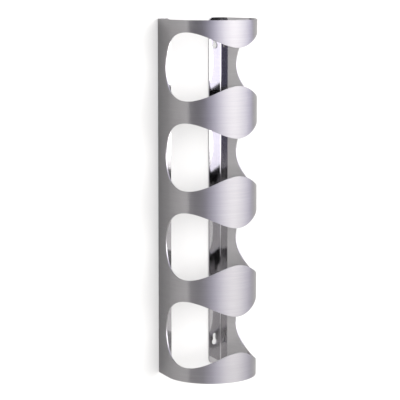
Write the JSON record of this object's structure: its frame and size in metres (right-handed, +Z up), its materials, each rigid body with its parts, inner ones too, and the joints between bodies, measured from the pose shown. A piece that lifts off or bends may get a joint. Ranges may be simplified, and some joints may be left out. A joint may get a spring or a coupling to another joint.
{
  "type": "wall-mounted wine rack",
  "caption": "Tall wall-mounted rack of bent brushed steel that holds wine bottles on their sides in round passages, hung on screws by keyholes.",
  "frame": {"origin": "on the wall's face, midway between the two screws that the rack hangs on", "axes": "+Z up along the rack, +Y out of the rack's back into the wall, +X to the right as seen from the front; the bottles lie along X"},
  "size_m": [0.116, 0.1333, 0.45],
  "materials": {
    "brushed_steel": "satin, brushed round the section",
    "screw_steel": "bright zinc plating",
    "plug_nylon": "matte moulded nylon"
  },
  "bodies": {
    "wall_fixings": {"wall_screw_left": "screw_steel", "wall_screw_right": "screw_steel", "wall_plug_left": "plug_nylon", "wall_plug_right": "plug_nylon"},
    "rack": {"rack_body": "brushed_steel"}
  },
  "joints": [
    {"name": "rack_lift", "type": "slide", "parent": "wall_fixings", "child": "rack", "axis": [0, 0, 1], "range_m": [0, 0.009]}
  ]
}
